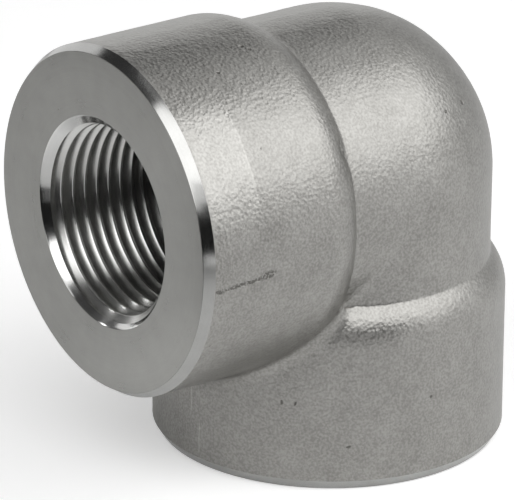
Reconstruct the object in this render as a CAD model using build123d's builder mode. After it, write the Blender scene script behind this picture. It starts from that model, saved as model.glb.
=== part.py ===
from build123d import *
import math
import os

# Forged 90 degree threaded elbow, NPS 1, class 3000. All sizes in millimetres.
# The lower port faces down and stands on z = 0. The upper port faces -Y.
# The origin is the centre of the lower end face, and both axes cross above it.

# Outside of the forging
centre_to_end = 44.0
band_radius = 28.0
neck_radius = 25.5
band_reach = 14.0  # from the crossing of the axes to the crease behind a band
shoulder_radius = 8.5
crease_radius = 0.8
crotch_radius = 2.6
crotch_dip = 0.05  # how far the ball that rolls the crotch fillet dips into the legs

# Turned ends
chamfer_length = 1.6
chamfer_depth = 1.0

# Ports for a 1-11.5 taper pipe thread, drilled to the tap drill's size
tap_drill_radius = 29.37 / 2
mouth_radius = 16.95
tapped_depth = 24.0

# Waterway drilled on behind each port. Both drills have the same point.
waterway_radius = 26.64 / 2
drill_point_angle = 118.0

# Places on a leg's profile, worked out from the sizes above
crossing = (0, 0, centre_to_end)
face_radius = band_radius - chamfer_depth
shoulder_centre_radius = band_radius - shoulder_radius
shoulder_angle = math.acos((neck_radius - shoulder_centre_radius) / shoulder_radius)
shoulder_reach = band_reach + shoulder_radius * math.sin(shoulder_angle)
countersink_depth = mouth_radius - tap_drill_radius
drill_point_slope = math.tan(math.radians(drill_point_angle / 2))
step_height = (tap_drill_radius - waterway_radius) / drill_point_slope
drill_point_height = waterway_radius / drill_point_slope

# The mitre plane halves the angle between the legs, so each leg is the other's mirror
# image in it. Its local x is X. Its local y leans out between the legs, and a point at
# a given reach along both legs lies root 2 times as far out along it.
mitre_plane = Plane(origin=crossing, x_dir=(1, 0, 0), z_dir=(0, 1, -1))
mitre_stretch = math.sqrt(2)

# The crotch fillet is the trace of a ball that rolls along the valley between the legs:
# round the bands, over the shoulders, and up between the necks until it fades out.
# On the bands and necks its centre keeps a fixed distance from both axes.
ball_gap = crotch_radius - crotch_dip
band_path_radius = band_radius + ball_gap
neck_path_radius = neck_radius + ball_gap
shoulder_path_radius = shoulder_radius + ball_gap
neck_rise = neck_path_radius - shoulder_centre_radius
corner_reach = shoulder_reach - math.sqrt(shoulder_path_radius**2 - neck_rise**2)
middle_reach = (shoulder_reach + corner_reach) / 2
fade_reach = 3.0
band_angle = math.degrees(math.asin(shoulder_reach / band_path_radius))
corner_angle = math.degrees(math.asin(corner_reach / neck_path_radius))
fade_angle = math.degrees(math.asin(fade_reach / neck_path_radius))


def shoulder_lean(reach):
    """Lean of the shoulder's surface where the ball touches it, in radians."""
    return math.asin((shoulder_reach - reach) / shoulder_path_radius)


def shoulder_path(reach):
    """Distance from the ball's centre to a leg's axis, while it rolls over the shoulder."""
    return shoulder_centre_radius + shoulder_path_radius * math.cos(shoulder_lean(reach))


def ball_centre(reach, path_radius):
    """Ball's centre in the mitre plane."""
    return (math.sqrt(path_radius**2 - reach**2), mitre_stretch * reach)


def web_edge(reach, path_radius, lean):
    """Point halfway between the ball's two contacts, in the mitre plane."""
    foot = 1 - ball_gap * math.cos(lean) / path_radius
    across = foot * math.sqrt(path_radius**2 - reach**2)
    along = (foot * reach + reach + ball_gap * math.sin(lean)) / 2
    return (across, mitre_stretch * along)


# Cutter for one port: countersink, tapped bore, and the waterway with its drill point
with BuildPart() as port_bore:
    with BuildSketch(Plane.XZ):
        with BuildLine():
            Polyline(
                (0, 0),
                (mouth_radius, 0),
                (tap_drill_radius, countersink_depth),
                (tap_drill_radius, tapped_depth),
                (waterway_radius, tapped_depth + step_height),
                (waterway_radius, centre_to_end),
                (0, centre_to_end + drill_point_height),
                close=True,
            )
        make_face()
    revolve(axis=Axis.Z)


# Paths of the rolling ball's centre on the +X side
with BuildLine(mitre_plane) as band_path:
    EllipticalCenterArc(
        center=(0, 0),
        x_radius=band_path_radius,
        y_radius=mitre_stretch * band_path_radius,
        start_angle=band_angle,
        arc_size=90 - band_angle,
    )

with BuildLine(mitre_plane) as shoulder_climb:
    ThreePointArc(
        ball_centre(shoulder_reach, band_path_radius),
        ball_centre(middle_reach, shoulder_path(middle_reach)),
        ball_centre(corner_reach, neck_path_radius),
    )

with BuildLine(mitre_plane) as neck_path:
    EllipticalCenterArc(
        center=(0, 0),
        x_radius=neck_path_radius,
        y_radius=mitre_stretch * neck_path_radius,
        start_angle=0,
        arc_size=corner_angle,
    )


# Web that fills the valley: a plate in the mitre plane, rolled hollow by the ball
with BuildPart() as crotch_web:
    with BuildSketch(mitre_plane):
        with BuildLine():
            band_edge = EllipticalCenterArc(
                center=(0, 0),
                x_radius=band_radius,
                y_radius=mitre_stretch * (band_radius + ball_gap / 2),
                start_angle=band_angle,
                arc_size=90 - band_angle,
            )
            shoulder_edge = ThreePointArc(
                band_edge @ 0,
                web_edge(middle_reach, shoulder_path(middle_reach), shoulder_lean(middle_reach)),
                web_edge(corner_reach, neck_path_radius, shoulder_lean(corner_reach)),
            )
            neck_edge = EllipticalCenterArc(
                center=(0, 0),
                x_radius=neck_radius,
                y_radius=mitre_stretch * (neck_radius + ball_gap / 2),
                start_angle=fade_angle,
                arc_size=corner_angle - fade_angle,
            )
            Line(shoulder_edge @ 1, neck_edge @ 1)
            Polyline(neck_edge @ 0, (0, mitre_stretch * fade_reach), band_edge @ 1)
        make_face()
    extrude(amount=crotch_radius, both=True)
    for path in (band_path, shoulder_climb, neck_path):
        with BuildSketch(Plane(origin=path.line @ 0, z_dir=path.line % 0)):
            Circle(crotch_radius)
        sweep(path=path.line, mode=Mode.SUBTRACT)
    with Locations(shoulder_climb.line @ 0, shoulder_climb.line @ 1):
        Sphere(crotch_radius, mode=Mode.SUBTRACT)
    mirror(about=Plane.YZ)


# The forging: a banded leg turned about each axis, with a ball where they meet
with BuildPart() as elbow_body:
    with BuildSketch(Plane.XZ) as leg_profile:
        with BuildLine():
            Polyline(
                (0, centre_to_end),
                (0, 0),
                (face_radius, 0),
                (band_radius, chamfer_length),
                (band_radius, centre_to_end - shoulder_reach),
            )
            shoulder = CenterArc(
                center=(shoulder_centre_radius, centre_to_end - shoulder_reach),
                radius=shoulder_radius,
                start_angle=0,
                arc_size=math.degrees(shoulder_angle),
            )
            Polyline(shoulder @ 1, (neck_radius, centre_to_end), (0, centre_to_end))
        make_face()
        crease = leg_profile.vertices().sort_by_distance(shoulder @ 1)[0]
        fillet(crease, crease_radius)
    revolve(axis=Axis.Z)
    with Locations(crossing):
        Sphere(neck_radius)
    mirror(about=mitre_plane)
    add(crotch_web.part)
    add(port_bore.part, mode=Mode.SUBTRACT)
    mirror(port_bore.part, about=mitre_plane, mode=Mode.SUBTRACT)

elbow_body.part.label = "elbow_body"

os.makedirs("parts", exist_ok=True)
export_step(elbow_body.part, "parts/elbow_body.step")
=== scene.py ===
import math

import bmesh
import bpy
from mathutils import Matrix, Vector, noise


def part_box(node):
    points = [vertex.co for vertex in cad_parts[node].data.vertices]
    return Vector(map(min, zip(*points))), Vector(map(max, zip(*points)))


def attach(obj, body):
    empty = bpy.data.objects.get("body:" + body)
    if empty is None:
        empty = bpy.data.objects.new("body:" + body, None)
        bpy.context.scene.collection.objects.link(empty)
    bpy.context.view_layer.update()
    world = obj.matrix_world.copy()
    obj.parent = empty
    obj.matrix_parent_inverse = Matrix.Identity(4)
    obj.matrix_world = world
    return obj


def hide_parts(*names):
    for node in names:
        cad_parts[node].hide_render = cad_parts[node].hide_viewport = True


# Forged 90 degree threaded elbow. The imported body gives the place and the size, and this
# script gives it its skin, its turned ends, its real threads and its finish.
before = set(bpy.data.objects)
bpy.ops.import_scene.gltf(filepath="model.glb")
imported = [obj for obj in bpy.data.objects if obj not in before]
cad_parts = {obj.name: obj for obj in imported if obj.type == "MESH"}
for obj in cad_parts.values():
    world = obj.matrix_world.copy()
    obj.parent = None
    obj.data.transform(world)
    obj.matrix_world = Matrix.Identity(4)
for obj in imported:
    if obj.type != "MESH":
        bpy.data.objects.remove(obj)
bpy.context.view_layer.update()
body_low, body_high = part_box("elbow_body")

mm = 0.001

# Outside of the forging
band_radius = body_high.x
centre_to_end = -body_low.y
crossing = Vector((0, 0, centre_to_end))
neck_radius = 25.5 * mm
band_reach = 14.0 * mm
shoulder_radius = 8.5 * mm
crease_radius = 0.8 * mm
crotch_radius = 2.6 * mm

# Turned ends
chamfer_length = 1.6 * mm
chamfer_depth = 1.0 * mm
edge_break = 0.12 * mm
mouth_radius = 16.95 * mm

# Ports
tap_drill_radius = 14.685 * mm
tapped_depth = 24.0 * mm
waterway_radius = 13.32 * mm
drill_point_slope = math.tan(math.radians(118 / 2))

# The 1-11.5 taper pipe thread, one inch in sixteen on the diameter
thread_pitch = 25.4 / 11.5 * mm
thread_taper = 1 / 32
thread_root_radius = 16.61 * mm
thread_crest_radius = 15.1 * mm
thread_root_flat = 0.084 * mm
full_thread_depth = 19.0 * mm
tap_lead_slope = 0.24
flank_slope = math.tan(math.radians(30))

# How finely each surface is divided
skin_step = 0.62 * mm
skin_columns = 280
thread_columns = 120
waterway_columns = 96
flank_step = 0.7 * mm
crest_step = 0.13 * mm

# The mitre plane halves the corner, so each leg is the other's mirror image in it.
mitre_normal = Vector((0, -1, 1)).normalized()
lower_axis = Vector((0, 0, -1))
upper_axis = Vector((0, -1, 0))

# Finishes, in the order of the body's material slots
FORGED, FACED, CHAMFERED, COUNTERSUNK, THREADED, DRILLED = range(6)


# Angle of the first turn of each thread, and the sharpest corner that is shaded round
lower_thread_start = 0
upper_thread_start = 75
sharp_angle = math.radians(35)

# Strip round the forging where the flash was trimmed off
flash_strip_width = 6.4 * mm
flash_strip_height = 0.05 * mm

# Patch of the upper band beside the chamfer that the lathe just touched
skim_reach = 33.2 * mm
skim_middle_angle = 34
skim_half_angle = 18
skim_depth = 0.05 * mm

# Knock on the upper band's shoulder
dent_place = Vector((23.2, -14.8, 56.6)) * mm
dent_way = Vector((0.28, 0.28, -0.92)).normalized()
dent_half_length = 2.2 * mm
dent_half_width = 0.6 * mm
dent_depth = 0.5 * mm

# Marks on the skin: place, half size, and lean in degrees. Pits have one half size.
seam_marks = (
    (Vector((27.9, -37.0, 41.6)) * mm, Vector((3, 6.2, 0.45)) * mm, 4),
    (Vector((27.9, -32.6, 42.0)) * mm, Vector((3, 2.0, 0.85)) * mm, 12),
    (Vector((27.9, -41.6, 41.3)) * mm, Vector((3, 0.9, 0.55)) * mm, 0),
)
pit_marks = (
    (Vector((18.2, 11.6, 57.5)) * mm, 0.5 * mm),
    (Vector((20.3, 7.0, 57.7)) * mm, 0.45 * mm),
    (Vector((7.7, -23.2, 70.9)) * mm, 0.45 * mm),
    (Vector((8.7, -22.5, 70.6)) * mm, 0.4 * mm),
    (Vector((17.4, -21.9, 14.6)) * mm, 0.4 * mm),
    (Vector((19.0, -20.6, 14.6)) * mm, 0.3 * mm),
    (Vector((24.3, -13.9, 7.4)) * mm, 0.4 * mm),
)
scratch_marks = (
    (Vector((1.8, -28.0, 11.0)) * mm, Vector((0.25, 3, 3.5)) * mm, 0),
    (Vector((3.6, -27.8, 5.2)) * mm, Vector((0.25, 3, 4.0)) * mm, 0),
    (Vector((10.2, -18.3, 69.8)) * mm, Vector((0.3, 1.2, 3)) * mm, 0),
)
stray_pit_spacing = 5 * mm

# Forged skin's finish
forged_dark = (0.162, 0.158, 0.147)
forged_light = (0.505, 0.498, 0.478)
forged_gloss = (0.28, 0.44)
peel_depth = 0.02 * mm
grain_depth = 0.012 * mm
dimple_depth = 0.055 * mm
pit_depth = 0.12 * mm

# The photograph's view of the crossing of the axes. Angles are in degrees.
photo_width = 515
view_azimuth = 53.787
view_elevation = 22.168
view_roll = 0.596
view_distance = 1021.43 * mm
view_aside = -11.42 * mm
view_below = -13.748 * mm
view_focal_pixels = 6474

# The studio: screens by name, azimuths, elevations, distance and strength
screens = (
    ("front_softbox", (0, 42), (14, 62), 0.7, 2.3),
    ("middle_softbox", (42, 78), (28, 62), 0.7, 2.35),
    ("right_softbox", (78, 112), (22, 62), 0.7, 2.35),
    ("side_softbox", (112, 143), (13, 62), 0.7, 2.1),
    ("far_softbox", (143, 166), (25, 62), 0.7, 2.2),
    ("corner_card", (166, 188), (30, 60), 0.66, 1.1),
    ("front_panel", (-16, 0), (0, 20), 0.6, 2.0),
    ("front_flag", (10, 46), (-11, 12), 0.22, 0.01),
    ("right_flag", (46, 100), (-7, 17), 0.22, 0.01),
    ("low_flag", (-12, 20), (-18, -1), 0.14, 0.01),
    ("canopy", (-180, 180), (64, 89), 0.62, 0.12),
    ("left_flag", (-140, -4), (36, 62), 0.6, 0.05),
    ("left_card", (-72, -18), (2, 36), 0.58, 0.1),
    ("back_card", (166, 224), (-12, 46), 0.68, 0.6),
)
glint_lamp_way = (-54, 22)
glint_lamp_distance = 0.5
glint_lamp_size = 0.045
glint_lamp_power = 0.05
floor_radius = 0.9
floor_gap = 0.02 * mm
floor_white = 0.9
floor_glow = 0.35
# Painted light on the floor that only reflections see: a pool round the elbow and a spot in front
# of the upper port
near_glow = 0.06
near_glow_start = 0.08
near_glow_end = 0.22
port_glow = 0.3
port_glow_place = Vector((-0.026, -0.082, 0))
port_glow_radius = 0.034
room_light = 0.55


def start_outline(bm, radius, height):
    """First point of an outline drawn beside the port's axis."""
    return bm.verts.new((radius, 0, height))


def draw_line(bm, pen, radius, height, step=None):
    """Draws a straight run from the pen, in pieces of about one step."""
    run = Vector((radius, 0, height)) - pen.co
    steps = max(1, round(run.length / step)) if step else 1
    made = bmesh.ops.spin(
        bm, geom=[pen], cent=pen.co, axis=(0, -1, 0), angle=0, dvec=run / steps, steps=steps
    )
    return made["geom_last"][0]


def draw_arc(bm, pen, radius, height, degrees, step):
    """Draws an arc from the pen about a centre, towards the axis for a positive angle."""
    centre = Vector((radius, 0, height))
    angle = math.radians(degrees)
    steps = max(2, round(abs(angle) * (pen.co - centre).length / step))
    made = bmesh.ops.spin(bm, geom=[pen], cent=centre, axis=(0, -1, 0), angle=angle, steps=steps)
    return made["geom_last"][0]


def turn(bm, columns):
    """Spins everything drawn so far about the lower port's axis."""
    geometry = bm.verts[:] + bm.edges[:]
    bmesh.ops.spin(
        bm, geom=geometry, cent=(0, 0, 0), axis=(0, 0, 1), angle=math.tau, steps=columns,
        use_merge=True,
    )


def set_finish(bm, finish):
    for face in bm.faces:
        face.material_index = finish


def add_to(bm, part):
    """Moves one bmesh into another."""
    mesh = bpy.data.meshes.new("part")
    part.to_mesh(mesh)
    part.free()
    bm.from_mesh(mesh)
    bpy.data.meshes.remove(mesh)


def shoulder_height():
    """Places on the leg's outline: the angle where the shoulder's arc meets the neck, and
    the reach at which it leaves the band."""
    centre_radius = band_radius - shoulder_radius
    angle = math.acos((neck_radius - centre_radius) / shoulder_radius)
    reach = band_reach + shoulder_radius * math.sin(angle)
    return centre_radius, angle, reach


shoulder_centre_radius, shoulder_angle, shoulder_reach = shoulder_height()


def crease_arc():
    """The small arc between shoulder and neck: its centre's radius and reach, and how far
    the shoulder and the crease arc turn."""
    radius = neck_radius + crease_radius
    climb = math.acos((radius - shoulder_centre_radius) / (shoulder_radius + crease_radius))
    reach = shoulder_reach - (shoulder_radius + crease_radius) * math.sin(climb)
    return radius, reach, climb


def forged_leg():
    """Skin of one leg, from its chamfer over the band, shoulder and neck to the ball."""
    bm = bmesh.new()
    crease_centre_radius, crease_reach, climb = crease_arc()
    pen = start_outline(bm, band_radius, chamfer_length)
    pen = draw_line(bm, pen, band_radius, centre_to_end - shoulder_reach, skin_step)
    pen = draw_arc(
        bm, pen, shoulder_centre_radius, centre_to_end - shoulder_reach, math.degrees(climb),
        skin_step,
    )
    pen = draw_arc(
        bm, pen, crease_centre_radius, centre_to_end - crease_reach, -math.degrees(climb),
        0.2 * mm,
    )
    pen = draw_line(bm, pen, neck_radius, centre_to_end, skin_step)
    draw_arc(bm, pen, 0, centre_to_end, 47, skin_step)
    turn(bm, skin_columns)
    set_finish(bm, FORGED)
    return bm


def turned_end():
    """Chamfer, end face and the start of the countersink, with broken edges."""
    bm = bmesh.new()
    pen = start_outline(bm, mouth_radius - 0.25 * mm, 0.25 * mm)
    for radius, depth in (
        (mouth_radius, 0),
        ((mouth_radius + band_radius) / 2, 0),
        (band_radius - chamfer_depth, 0),
        (band_radius, chamfer_length),
    ):
        pen = draw_line(bm, pen, radius, depth)
    corners = [v for v in bm.verts if abs(v.co.z) < edge_break / 2 and len(v.link_edges) == 2]
    corners.sort(key=lambda v: v.co.x)
    bmesh.ops.bevel(
        bm, geom=[corners[0], corners[-1]], offset=edge_break, segments=3, profile=0.5,
        affect="VERTICES", material=-1,
    )
    turn(bm, skin_columns)
    for face in bm.faces:
        place = face.calc_center_median()
        radius = place.xy.length
        if radius < mouth_radius:
            face.material_index = COUNTERSUNK
        elif radius > band_radius - chamfer_depth:
            face.material_index = CHAMFERED
        else:
            face.material_index = FACED
    return bm


def waterway():
    """Drilled bore behind the thread, and its drill point beyond the crossing."""
    bm = bmesh.new()
    step_height = (tap_drill_radius - waterway_radius) / drill_point_slope
    point_reach = 1.1 * waterway_radius / (1 + drill_point_slope)
    pen = start_outline(bm, waterway_radius, tapped_depth + step_height)
    pen = draw_line(bm, pen, waterway_radius, centre_to_end, 1.5 * mm)
    draw_line(
        bm, pen, waterway_radius - drill_point_slope * point_reach, centre_to_end + point_reach,
        1.5 * mm,
    )
    turn(bm, waterway_columns)
    set_finish(bm, DRILLED)
    return bm


def hole_radius(depth):
    """Radius of the turned hole that the thread is cut into: countersink, then bore."""
    tapered_crest = thread_crest_radius - depth * thread_taper
    return max(mouth_radius - depth, tapered_crest, tap_drill_radius)


def groove_radius(straight_radius, depth):
    """Tapers the straight thread, and lets it run out over the tap's lead."""
    lead = max(0, depth - full_thread_depth) * tap_lead_slope
    return straight_radius - max(0, depth) * thread_taper - lead


def threaded_bore():
    """A V thread with rounded crests, wound about the lower port's axis, tapered, and cut
    by the turned hole."""
    bm = bmesh.new()
    flank_run = (thread_pitch - thread_root_flat) / 2
    peak_radius = thread_root_radius - flank_run / flank_slope
    crest_round = thread_crest_radius - peak_radius
    crest_centre = thread_crest_radius + crest_round
    crest_turn = 60
    turns = math.ceil(tapped_depth / thread_pitch) + 2
    crest = -thread_pitch
    pen = start_outline(bm, thread_crest_radius, crest)
    for _ in range(turns):
        root = crest + flank_run
        next_crest = crest + thread_pitch
        pen = draw_arc(bm, pen, crest_centre, crest, -crest_turn, crest_step)
        pen = draw_line(bm, pen, thread_root_radius, root, flank_step)
        pen = draw_line(bm, pen, thread_root_radius, root + thread_root_flat)
        flank_end = next_crest - crest_round * math.sin(math.radians(crest_turn))
        flank_end_radius = crest_centre - crest_round * math.cos(math.radians(crest_turn))
        pen = draw_line(bm, pen, flank_end_radius, flank_end, flank_step)
        pen = draw_arc(bm, pen, crest_centre, next_crest, -crest_turn, crest_step)
        crest = next_crest
    bmesh.ops.spin(
        bm, geom=bm.verts[:] + bm.edges[:], cent=(0, 0, 0), axis=(0, 0, 1), angle=math.tau,
        dvec=(0, 0, thread_pitch / thread_columns), steps=thread_columns,
    )
    bmesh.ops.remove_doubles(bm, verts=bm.verts, dist=0.01 * mm)
    for vert in bm.verts:
        radius = vert.co.xy.length
        vert.co.xy *= groove_radius(radius, vert.co.z) / radius
    cut_to_hole(bm)
    for depth, outward in ((0.33 * mm, -1), (tapped_depth, 1)):
        bmesh.ops.bisect_plane(
            bm, geom=bm.verts[:] + bm.edges[:] + bm.faces[:], dist=1e-7,
            plane_co=(0, 0, depth), plane_no=(0, 0, outward), clear_outer=True,
        )
    return bm


def cut_to_hole(bm):
    """Cuts the thread's crests off where the turned hole reaches past them."""
    proud = {v: v.co.xy.length - hole_radius(v.co.z) for v in bm.verts}
    edge_of_cut = []
    for edge in bm.edges[:]:
        first, second = edge.verts
        if proud[first] * proud[second] < 0:
            share = proud[first] / (proud[first] - proud[second])
            made = bmesh.utils.edge_split(edge, first, share)[1]
            edge_of_cut.append(made)
    bmesh.ops.connect_verts(bm, verts=edge_of_cut)
    for vert, height in proud.items():
        if height < 0:
            vert.co.xy *= hole_radius(vert.co.z) / vert.co.xy.length
    for face in bm.faces:
        place = face.calc_center_median()
        on_hole = all(proud.get(v, 0) <= 0 for v in face.verts)
        countersunk = on_hole and place.xy.length > hole_radius(3 * mm)
        face.material_index = COUNTERSUNK if countersunk else THREADED


def cut_at_mitre(bm, snap):
    """Keeps the lower leg's side. Points within the snap distance are set on the plane."""
    bmesh.ops.bisect_plane(
        bm, geom=bm.verts[:] + bm.edges[:] + bm.faces[:], dist=snap, plane_co=crossing,
        plane_no=mitre_normal, clear_outer=True, use_snap_center=True,
    )


def half_elbow():
    """The lower leg, cut off at the mitre plane."""
    bm = forged_leg()
    cut_at_mitre(bm, 0.2 * mm)
    inside = waterway()
    cut_at_mitre(inside, 0.001 * mm)
    add_to(bm, inside)
    add_to(bm, turned_end())
    bmesh.ops.remove_doubles(bm, verts=bm.verts, dist=0.01 * mm)
    return bm


def mirror_leg(bm):
    """Adds the upper leg as the lower one's mirror image, welded at the mitre plane."""
    copy = bmesh.ops.duplicate(bm, geom=bm.verts[:] + bm.edges[:] + bm.faces[:])
    upper_leg = [item for item in copy["geom"] if isinstance(item, bmesh.types.BMVert)]
    bmesh.ops.transform(
        bm, matrix=Matrix.Scale(-1, 4, mitre_normal), verts=upper_leg,
        space=Matrix.Translation(-crossing),
    )
    bmesh.ops.remove_doubles(bm, verts=bm.verts, dist=0.01 * mm)


def leg_surface(place, axis):
    """How far a place lies outside one leg's skin, and the way the skin faces there."""
    offset = place - crossing
    reach = offset.dot(axis)
    outward = offset - reach * axis
    radius = outward.length
    if reach > shoulder_reach:
        return radius - band_radius, outward / radius
    from_shoulder = outward * (1 - shoulder_centre_radius / radius)
    from_shoulder += (reach - shoulder_reach) * axis
    shoulder_gap = from_shoulder.length - shoulder_radius
    if reach < 0:
        neck_gap, neck_facing = offset.length - neck_radius, offset.normalized()
    else:
        neck_gap, neck_facing = radius - neck_radius, outward / radius
    if neck_gap < shoulder_gap:
        return neck_gap, neck_facing
    return shoulder_gap, from_shoulder.normalized()


def on_skin(vert):
    return all(face.material_index == FORGED for face in vert.link_faces)


def roll_crotch(bm):
    """Moves the skin beside the sharp valley onto the ball that rolls between the legs."""
    moved = []
    for vert in bm.verts:
        offset = vert.co - crossing
        reaches = offset.dot(lower_axis), offset.dot(upper_axis)
        if min(reaches) < 2 * mm or not on_skin(vert):
            continue
        for _ in range(3):
            lower_gap, lower_facing = leg_surface(vert.co, lower_axis)
            upper_gap, upper_facing = leg_surface(vert.co, upper_axis)
            closeness = lower_facing.dot(upper_facing)
            contact = crotch_radius * (1 - closeness)
            if max(lower_gap, upper_gap) > contact or closeness > 0.995:
                break
            lower_part = lower_gap - crotch_radius
            upper_part = upper_gap - crotch_radius
            spread = 1 - closeness * closeness
            from_ball = lower_facing * ((lower_part - closeness * upper_part) / spread)
            from_ball += upper_facing * ((upper_part - closeness * lower_part) / spread)
            vert.co += from_ball * (crotch_radius / from_ball.length - 1)
            moved.append(vert)
    return list(dict.fromkeys(moved))


def rim_edges(bm, height, radius, axis):
    """Open edges of one port that lie round a given ring."""
    found = []
    for edge in bm.edges:
        if not edge.is_boundary:
            continue
        middle = (edge.verts[0].co + edge.verts[1].co) / 2 - crossing
        depth = centre_to_end - middle.dot(axis)
        ring = (middle - middle.dot(axis) * axis).length
        if abs(depth - height) < 0.02 * mm and abs(ring - radius) < 0.2 * mm:
            found.append(edge)
    return found


def fit_thread(bm, axis, start_degrees):
    """Winds one port's thread and joins it to the mouth and to the waterway."""
    thread = threaded_bore()
    turn_to_start = Matrix.Rotation(math.radians(start_degrees), 4, "Z")
    bmesh.ops.transform(thread, matrix=turn_to_start, verts=thread.verts)
    if axis == upper_axis:
        swing = Matrix.Rotation(math.radians(-90), 4, "X")
        bmesh.ops.transform(
            thread, matrix=swing, verts=thread.verts, space=Matrix.Translation(-crossing)
        )
    add_to(bm, thread)
    step_height = (tap_drill_radius - waterway_radius) / drill_point_slope
    joints = (
        ((0.25 * mm, mouth_radius - 0.25 * mm), (0.33 * mm, mouth_radius - 0.33 * mm), COUNTERSUNK),
        ((tapped_depth, tap_drill_radius), (tapped_depth + step_height, waterway_radius), DRILLED),
    )
    for first, second, finish in joints:
        rims = set(rim_edges(bm, *first, axis)) | set(rim_edges(bm, *second, axis))
        made = bmesh.ops.bridge_loops(bm, edges=list(rims))
        for face in made["faces"]:
            face.material_index = finish


def smooth_step(low, high, value):
    """Climbs softly from 0 at low to 1 at high."""
    share = min(1, max(0, (value - low) / (high - low)))
    return share * share * (3 - 2 * share)


def trimmed_share(place):
    """1 on the strip round the forging where its flash was trimmed and ground off."""
    wander = noise.noise(place / (9 * mm)) * 1.2 * mm
    edge = abs(place.x) - flash_strip_width / 2 + wander
    return 1 - smooth_step(-0.3 * mm, 0.3 * mm, edge)


def skimmed_share(place):
    """1 round the part of the upper band where the lathe just touched the forged skin."""
    if place.y > -band_reach:
        return 0
    angle = math.degrees(math.atan2(place.z - centre_to_end, place.x))
    from_middle = abs(angle - skim_middle_angle)
    return 1 - smooth_step(skim_half_angle - 4, skim_half_angle + 4, from_middle)


def dent_share(place):
    """Deepest at 1, where the upper band's shoulder took a knock."""
    away = place - dent_place
    along = away.dot(dent_way)
    across = (away - along * dent_way).length
    return math.exp(-((along / dent_half_length) ** 2) - (across / dent_half_width) ** 2)


def forging_relief(place):
    """Uneven height of the forged and blasted skin, in metres."""
    swell = noise.noise(place / (11 * mm)) * 0.05 * mm
    ripple = noise.noise(place / (4.5 * mm) + Vector((7, 3, 1))) * 0.02 * mm
    peel = noise.noise(place / (1.9 * mm) + Vector((2, 9, 5))) * 0.006 * mm
    height = swell + ripple + peel
    height += trimmed_share(place) * flash_strip_height
    past_line = smooth_step(-0.3 * mm, 0.3 * mm, -place.y - skim_reach)
    height -= skimmed_share(place) * past_line * skim_depth
    height -= dent_share(place) * dent_depth
    return height


def roughen_skin(bm):
    """Raises and lowers the forged skin, and leaves the turned surfaces true."""
    bm.normal_update()
    trimmed = bm.verts.layers.float.new("trimmed")
    skimmed = bm.verts.layers.float.new("skimmed")
    skin = [v for v in bm.verts if on_skin(v)]
    lifts = [forging_relief(v.co) for v in skin]
    for vert, lift in zip(skin, lifts):
        vert[trimmed] = trimmed_share(vert.co)
        vert[skimmed] = skimmed_share(vert.co)
        vert.co += vert.normal * lift


def make_elbow():
    """The whole elbow as one closed mesh."""
    bm = half_elbow()
    mirror_leg(bm)
    rolled = roll_crotch(bm)
    bmesh.ops.smooth_vert(
        bm, verts=rolled, factor=0.5, use_axis_x=True, use_axis_y=True, use_axis_z=True
    )
    fit_thread(bm, lower_axis, lower_thread_start)
    fit_thread(bm, upper_axis, upper_thread_start)
    bmesh.ops.recalc_face_normals(bm, faces=bm.faces)
    roughen_skin(bm)
    for face in bm.faces:
        face.smooth = True
    for edge in bm.edges:
        finishes = {f.material_index for f in edge.link_faces}
        edge.smooth = edge.calc_face_angle() < sharp_angle and len(finishes) == 1
    mesh = bpy.data.meshes.new("threaded_elbow")
    bm.to_mesh(mesh)
    bm.free()
    elbow = bpy.data.objects.new("threaded_elbow", mesh)
    bpy.context.scene.collection.objects.link(elbow)
    return elbow


def add_node(tree, kind, inputs, **settings):
    """Adds a shader node. An input is a plain value, or another node's output to link."""
    node = tree.nodes.new("ShaderNode" + kind)
    for setting, value in settings.items():
        setattr(node, setting, value)
    for socket, value in inputs.items():
        if isinstance(value, bpy.types.NodeSocket):
            tree.links.new(value, node.inputs[socket])
        else:
            node.inputs[socket].default_value = value
    return node


def maths(tree, operation, *values):
    return add_node(tree, "Math", dict(enumerate(values)), operation=operation).outputs[0]


def vector_maths(tree, operation, *values):
    return add_node(tree, "VectorMath", dict(enumerate(values)), operation=operation).outputs[0]


def number_of(tree, operation, *values):
    """A vector sum whose result is one number, such as a length."""
    node = add_node(tree, "VectorMath", dict(enumerate(values)), operation=operation)
    return node.outputs["Value"]


def remap(tree, value, low, high, to_low, to_high):
    """Takes a value from one range to another, softly at both ends."""
    inputs = {
        "Value": value, "From Min": low, "From Max": high, "To Min": to_low, "To Max": to_high,
    }
    node = add_node(tree, "MapRange", inputs, interpolation_type="SMOOTHSTEP")
    return node.outputs["Result"]


def grain(tree, place, size, detail=2):
    """Noise with spots of about the given size."""
    inputs = {"Vector": place, "Scale": 1 / size, "Detail": detail}
    return add_node(tree, "TexNoise", inputs).outputs["Fac"]


def rings(tree, distance, size, detail=2):
    """Noise that changes along one distance only, as tool marks do."""
    inputs = {"W": distance, "Scale": 1 / size, "Detail": detail}
    return add_node(tree, "TexNoise", inputs, noise_dimensions="1D").outputs["Fac"]


def craters(tree, place, size):
    """Small round hollows side by side, as grit leaves them."""
    inputs = {"Vector": place, "Scale": 1 / size, "Smoothness": 0.4}
    return add_node(tree, "TexVoronoi", inputs, feature="SMOOTH_F1").outputs["Distance"]


def shade(tree, tone, dark, light):
    """Colour between dark and light for a tone of 0 to 1."""
    node = add_node(tree, "ValToRGB", {"Fac": tone})
    first, last = node.color_ramp.elements
    first.color = (*dark, 1)
    last.color = (*light, 1)
    return node.outputs["Color"]


def blend_tones(tree, *parts):
    """Adds up noises by weight about the middle tone."""
    total = 0.5
    for noise_value, weight in parts:
        centred = maths(tree, "SUBTRACT", noise_value, 0.5)
        total = maths(tree, "MULTIPLY_ADD", centred, weight, total)
    return total


def relief(tree, *layers):
    """Bump from several heights of 0 to 1, each with its depth in metres."""
    total = 0
    for height, depth in layers:
        total = maths(tree, "MULTIPLY_ADD", height, depth, total)
    inputs = {"Height": total, "Distance": 1, "Strength": 1}
    return add_node(tree, "Bump", inputs).outputs["Normal"]


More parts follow.
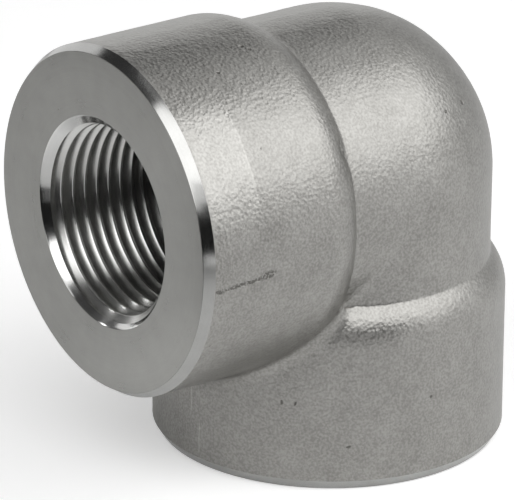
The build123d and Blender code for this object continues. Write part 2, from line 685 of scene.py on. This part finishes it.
def start_metal(name):
    """A new metal, its shader, and the place on the elbow that is being shaded."""
    material = bpy.data.materials.new(name)
    material.use_nodes = True
    tree = material.node_tree
    shader = tree.nodes["Principled BSDF"]
    shader.inputs["Metallic"].default_value = 1
    place = add_node(tree, "TexCoord", {}).outputs["Object"]
    return material, tree, shader, place


def finish_metal(tree, shader, colour, roughness, normal):
    tree.links.new(colour, shader.inputs["Base Color"])
    tree.links.new(roughness, shader.inputs["Roughness"])
    tree.links.new(normal, shader.inputs["Normal"])


def port_frame(tree, place):
    """Depth below the end face, radius from the port's axis, and the way round it."""
    offset = vector_maths(tree, "SUBTRACT", place, crossing)
    side = maths(tree, "GREATER_THAN", number_of(tree, "DOT_PRODUCT", offset, mitre_normal), 0)
    inputs = {"Factor": side, 4: lower_axis, 5: upper_axis}
    axis = add_node(tree, "Mix", inputs, data_type="VECTOR").outputs[1]
    reach = number_of(tree, "DOT_PRODUCT", offset, axis)
    along = vector_maths(tree, "MULTIPLY", axis, reach)
    outward = vector_maths(tree, "SUBTRACT", offset, along)
    radius = number_of(tree, "LENGTH", outward)
    round_way = vector_maths(tree, "NORMALIZE", vector_maths(tree, "CROSS_PRODUCT", axis, outward))
    depth = maths(tree, "SUBTRACT", centre_to_end, reach)
    return depth, radius, round_way


def turned_metal(name, dark, light, gloss, feed, mark_depth, brushing, across_face=False):
    """Metal cut on a lathe: fine rings round the axis that spread a reflection across them."""
    material, tree, shader, place = start_metal(name)
    depth, radius, round_way = port_frame(tree, place)
    distance = radius if across_face else depth
    marks = rings(tree, distance, feed, 3)
    bands = rings(tree, distance, feed * 6)
    haze = grain(tree, place, 4 * mm, 3)
    fine = grain(tree, place, 0.25 * mm)
    tone = blend_tones(tree, (marks, 0.2), (bands, 0.12), (haze, 0.5), (fine, 0.2))
    colour = shade(tree, tone, dark, light)
    wear = blend_tones(tree, (haze, 0.7), (bands, 0.3), (fine, 0.2))
    roughness = remap(tree, wear, 0.2, 0.8, gloss[0], gloss[1])
    normal = relief(tree, (marks, mark_depth))
    finish_metal(tree, shader, colour, roughness, normal)
    shader.inputs["Anisotropic"].default_value = brushing
    shader.inputs["Anisotropic Rotation"].default_value = 0.25
    tree.links.new(round_way, shader.inputs["Tangent"])
    return material


def mark_mask(tree, place, centre, half_size, lean=0):
    """1 inside a long spot on the skin, fading to 0 at its edge."""
    inputs = {
        "Vector": place,
        "Location": centre,
        "Rotation": (math.radians(lean), 0, 0),
        "Scale": half_size,
    }
    local = add_node(tree, "Mapping", inputs, vector_type="TEXTURE").outputs[0]
    return remap(tree, number_of(tree, "LENGTH", local), 0.4, 1, 1, 0)


def join_masks(tree, masks):
    joined = masks[0]
    for mask in masks[1:]:
        joined = maths(tree, "MAXIMUM", joined, mask)
    return joined


def shaken_place(tree, place, size, throw):
    """The place thrown about a little, so that a mark's outline is ragged."""
    inputs = {"Vector": place, "Scale": 1 / size}
    shake = add_node(tree, "TexNoise", inputs).outputs["Color"]
    centred = vector_maths(tree, "SUBTRACT", shake, (0.5, 0.5, 0.5))
    return vector_maths(tree, "MULTIPLY_ADD", centred, (throw, throw, throw), place)


def pit_mask(tree, place):
    """The torn seam low on the upper band, the pits seen on the skin, and stray small ones."""
    shaken = shaken_place(tree, place, 0.8 * mm, 0.9 * mm)
    seam = join_masks(tree, [
        mark_mask(tree, shaken, centre, size, lean) for centre, size, lean in seam_marks
    ])
    broken = remap(tree, grain(tree, place, 0.45 * mm), 0.38, 0.55, 0, 1)
    torn = maths(tree, "MULTIPLY", seam, broken)
    spots = [mark_mask(tree, shaken, centre, [size] * 3) for centre, size in pit_marks]
    inputs = {"Vector": place, "Scale": 1 / stray_pit_spacing}
    cells = add_node(tree, "TexVoronoi", inputs)
    near = remap(tree, cells.outputs["Distance"], 0.03, 0.07, 1, 0)
    chosen = maths(tree, "GREATER_THAN", cells.outputs["Color"], 0.72)
    stray = maths(tree, "MULTIPLY", near, chosen)
    return join_masks(tree, [torn, stray, *spots])


def skim_masks(tree, place):
    """The skimmed patch, and the bright line where the tool left it."""
    shaken = shaken_place(tree, place, 1.5 * mm, 0.35 * mm)
    reach = maths(tree, "MULTIPLY", add_node(tree, "SeparateXYZ", {0: shaken}).outputs["Y"], -1)
    around = add_node(tree, "Attribute", {}, attribute_name="skimmed").outputs["Fac"]
    inside = remap(tree, reach, skim_reach - 0.1 * mm, skim_reach + 0.1 * mm, 0, 1)
    off_line = maths(tree, "ABSOLUTE", maths(tree, "SUBTRACT", reach, skim_reach))
    line = remap(tree, off_line, 0.05 * mm, 0.22 * mm, 1, 0)
    return maths(tree, "MULTIPLY", inside, around), maths(tree, "MULTIPLY", line, around)


def scratch_mask(tree, place):
    """Thin bright scratches from handling."""
    shaken = shaken_place(tree, place, 2.5 * mm, 0.7 * mm)
    return join_masks(tree, [
        mark_mask(tree, shaken, centre, size, lean) for centre, size, lean in scratch_marks
    ])


def forged_metal():
    """Blasted and pickled stainless skin."""
    material, tree, shader, place = start_metal("forged_skin")
    mottle = grain(tree, place, 7 * mm, 4)
    cloud = grain(tree, place, 2.2 * mm, 3)
    speckle = remap(tree, grain(tree, place, 0.4 * mm, 2), 0.3, 0.7, 0, 1)
    dimples = craters(tree, place, 0.62 * mm)
    pits = pit_mask(tree, place)
    scratches = scratch_mask(tree, place)
    skimmed, skim_edge = skim_masks(tree, place)
    trimmed = add_node(tree, "Attribute", {}, attribute_name="trimmed").outputs["Fac"]
    tone = blend_tones(tree, (mottle, 0.35), (cloud, 0.25), (speckle, 0.3))
    tone = maths(tree, "MULTIPLY_ADD", skimmed, 0.1, tone)
    tone = maths(tree, "MULTIPLY_ADD", skim_edge, 0.12, tone)
    tone = maths(tree, "MULTIPLY_ADD", trimmed, -0.03, tone)
    tone = maths(tree, "MULTIPLY_ADD", scratches, 0.3, tone)
    tone = maths(tree, "MULTIPLY_ADD", pits, -0.6, tone)
    colour = shade(tree, tone, forged_dark, forged_light)
    wear = blend_tones(tree, (mottle, 0.5), (speckle, 0.3))
    wear = maths(tree, "MULTIPLY_ADD", skimmed, -0.2, wear)
    wear = maths(tree, "MULTIPLY_ADD", pits, 0.6, wear)
    roughness = remap(tree, wear, 0.1, 0.9, forged_gloss[0], forged_gloss[1])
    hollow = maths(tree, "SUBTRACT", 1, pits)
    normal = relief(
        tree,
        (cloud, peel_depth),
        (dimples, dimple_depth),
        (speckle, grain_depth),
        (hollow, pit_depth),
    )
    finish_metal(tree, shader, colour, roughness, normal)
    return material


def dress_elbow(elbow):
    """Puts the six finishes in the order of the body's material slots."""
    finishes = (
        forged_metal(),
        turned_metal("faced_end", (0.24, 0.24, 0.228), (0.42, 0.418, 0.402), (0.26, 0.36),
                     0.12 * mm, 0.004 * mm, 0.5, across_face=True),
        turned_metal("turned_chamfer", (0.32, 0.32, 0.31), (0.54, 0.54, 0.53), (0.14, 0.22),
                     0.1 * mm, 0.002 * mm, 0.6),
        turned_metal("countersink", (0.5, 0.5, 0.49), (0.74, 0.74, 0.73), (0.1, 0.17),
                     0.08 * mm, 0.002 * mm, 0.6),
        turned_metal("cut_thread", (0.46, 0.46, 0.445), (0.7, 0.7, 0.685), (0.2, 0.26),
                     0.1 * mm, 0.002 * mm, 0.75),
        turned_metal("drilled_waterway", (0.2, 0.2, 0.19), (0.42, 0.42, 0.41), (0.3, 0.42),
                     0.3 * mm, 0.02 * mm, 0.6),
    )
    for finish in finishes:
        elbow.data.materials.append(finish)


elbow = make_elbow()
dress_elbow(elbow)
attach(elbow, "root")
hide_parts("elbow_body")


def direction(azimuth, elevation):
    """Unit vector, with azimuth counted from the upper port's way towards +X."""
    a, e = math.radians(azimuth), math.radians(elevation)
    return Vector((math.sin(a) * math.cos(e), -math.cos(a) * math.cos(e), math.sin(e)))


def make_camera():
    """The photograph's view: from the right of the upper port and a little above."""
    back = direction(view_azimuth, view_elevation)
    level = direction(view_azimuth + 90, 0)
    upright = back.cross(level)
    roll = math.radians(view_roll)
    right = level * math.cos(roll) + upright * math.sin(roll)
    up = upright * math.cos(roll) - level * math.sin(roll)
    data = bpy.data.cameras.new("camera")
    data.lens = view_focal_pixels / photo_width * data.sensor_width
    camera = bpy.data.objects.new("camera", data)
    pose = Matrix((right, up, back)).transposed().to_4x4()
    pose.translation = crossing + back * view_distance + level * view_aside + upright * view_below
    camera.matrix_world = pose
    bpy.context.scene.collection.objects.link(camera)
    bpy.context.scene.camera = camera


def stage_object(name, bm, material):
    mesh = bpy.data.meshes.new(name)
    bm.to_mesh(mesh)
    bm.free()
    mesh.materials.append(material)
    staged = bpy.data.objects.new(name, mesh)
    bpy.context.scene.collection.objects.link(staged)
    return staged


def blank_material(name):
    material = bpy.data.materials.new(name)
    material.use_nodes = True
    tree = material.node_tree
    tree.nodes.clear()
    return material, tree, tree.nodes.new("ShaderNodeOutputMaterial").inputs["Surface"]


def glowing(name, strength):
    material, tree, surface = blank_material(name)
    glow = add_node(tree, "Emission", {"Strength": strength})
    tree.links.new(glow.outputs[0], surface)
    if strength < 1:
        material.cycles.emission_sampling = "NONE"
    return material


def make_screen(name, azimuths, elevations, distance, strength):
    """Curved studio screen round the elbow, bright or black, that the camera doesn't see."""
    bm = bmesh.new()
    first, last = azimuths
    bottom, top = elevations
    low_end = bm.verts.new(crossing + direction(first, bottom) * distance)
    bmesh.ops.spin(
        bm, geom=[low_end], cent=crossing, axis=direction(first - 90, 0),
        angle=math.radians(top - bottom), steps=8,
    )
    bmesh.ops.spin(
        bm, geom=bm.verts[:] + bm.edges[:], cent=crossing, axis=(0, 0, 1),
        angle=math.radians(last - first), steps=max(4, round((last - first) / 8)),
    )
    screen = stage_object(name, bm, glowing(name, strength))
    screen.visible_camera = False


def make_glint_lamp():
    """Small lamp on the left that glints in the turns of the upper thread."""
    data = bpy.data.lights.new("glint_lamp", "AREA")
    data.shape = "DISK"
    data.size = glint_lamp_size
    data.energy = glint_lamp_power
    lamp = bpy.data.objects.new("glint_lamp", data)
    towards = direction(*glint_lamp_way)
    lamp.location = crossing + towards * glint_lamp_distance
    lamp.rotation_euler = towards.to_track_quat("Z", "Y").to_euler()
    bpy.context.scene.collection.objects.link(lamp)


def kinds_of_ray(tree):
    """Two numbers: 1 for rays from the camera, and 1 for rays reflected or passed on."""
    ray = add_node(tree, "LightPath", {}).outputs
    reflected = maths(tree, "MAXIMUM", ray["Is Glossy Ray"], ray["Is Transmission Ray"])
    return ray["Is Camera Ray"], reflected


def make_floor():
    """White paper that keeps the elbow's shadow."""
    bm = bmesh.new()
    bmesh.ops.create_circle(bm, cap_ends=True, segments=96, radius=floor_radius)
    bmesh.ops.translate(bm, vec=(0, 0, -floor_gap), verts=bm.verts)
    material, tree, surface = blank_material("white_paper")
    paper = add_node(tree, "BsdfDiffuse", {"Color": (floor_white, floor_white, floor_white, 1)})
    seen, reflected = kinds_of_ray(tree)
    place = add_node(tree, "TexCoord", {}).outputs["Object"]
    # Painted pools of light, seen only in the metal's reflections
    away = number_of(tree, "LENGTH", place)
    near = remap(tree, away, near_glow_start, near_glow_end, near_glow, 0)
    from_port = number_of(tree, "DISTANCE", place, port_glow_place)
    below_port = remap(tree, from_port, 0.3 * port_glow_radius, port_glow_radius, port_glow, 0)
    strength = maths(tree, "MULTIPLY", reflected, maths(tree, "ADD", near, below_port))
    strength = maths(tree, "MULTIPLY_ADD", seen, floor_glow, strength)
    glow = add_node(tree, "Emission", {"Strength": strength})
    both = add_node(tree, "AddShader", {0: paper.outputs[0], 1: glow.outputs[0]})
    tree.links.new(both.outputs[0], surface)
    stage_object("floor", bm, material)


def make_world():
    """Even white surroundings, seen brighter than the light that they give."""
    world = bpy.data.worlds.new("studio")
    bpy.context.scene.world = world
    world.use_nodes = True
    world.cycles.sampling_method = "NONE"
    tree = world.node_tree
    background = tree.nodes["Background"]
    background.inputs["Color"].default_value = (1, 1, 1, 1)
    shown = maths(tree, "MAXIMUM", *kinds_of_ray(tree))
    strength = remap(tree, shown, 0, 1, room_light, 1)
    tree.links.new(strength, background.inputs["Strength"])


make_camera()
make_floor()
make_world()
make_glint_lamp()
for screen in screens:
    make_screen(*screen)

bpy.context.scene.view_settings.view_transform = "Standard"
